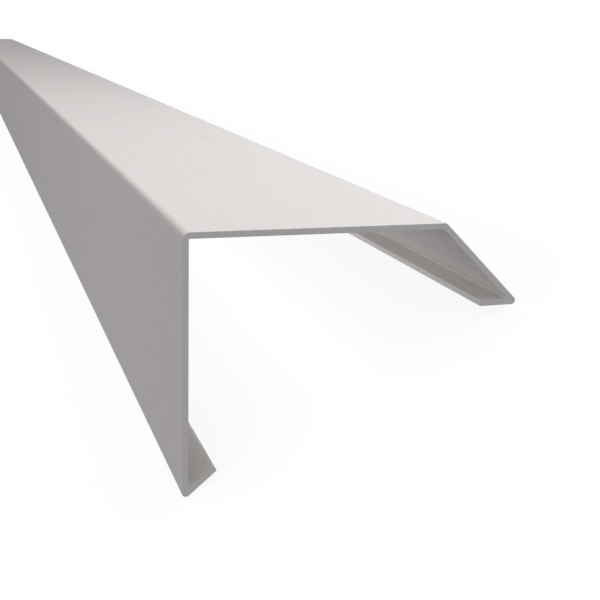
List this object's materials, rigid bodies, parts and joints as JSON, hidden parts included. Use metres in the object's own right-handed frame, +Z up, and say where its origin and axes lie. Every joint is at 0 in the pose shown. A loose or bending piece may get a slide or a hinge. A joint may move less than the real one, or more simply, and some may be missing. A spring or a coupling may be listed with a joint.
{
  "type": "roof edge trim",
  "caption": "Straight length of roof edge trim: level top, deep front face with an inturned lip, and a sloping rear flange with a foot turned back under it.",
  "frame": {"origin": "on the floor, below the middle of the trim as it rests on its lip corner and its foot corner", "axes": "+Y along the length of the trim, +Z up, +X from the lip corner to the foot corner"},
  "size_m": [0.1256, 2.5, 0.0747],
  "materials": {
    "powder_coat": "light grey powder coat, matt to satin, on aluminium"
  },
  "bodies": {
    "root": {"edge_trim": "powder_coat"}
  },
  "joints": []
}
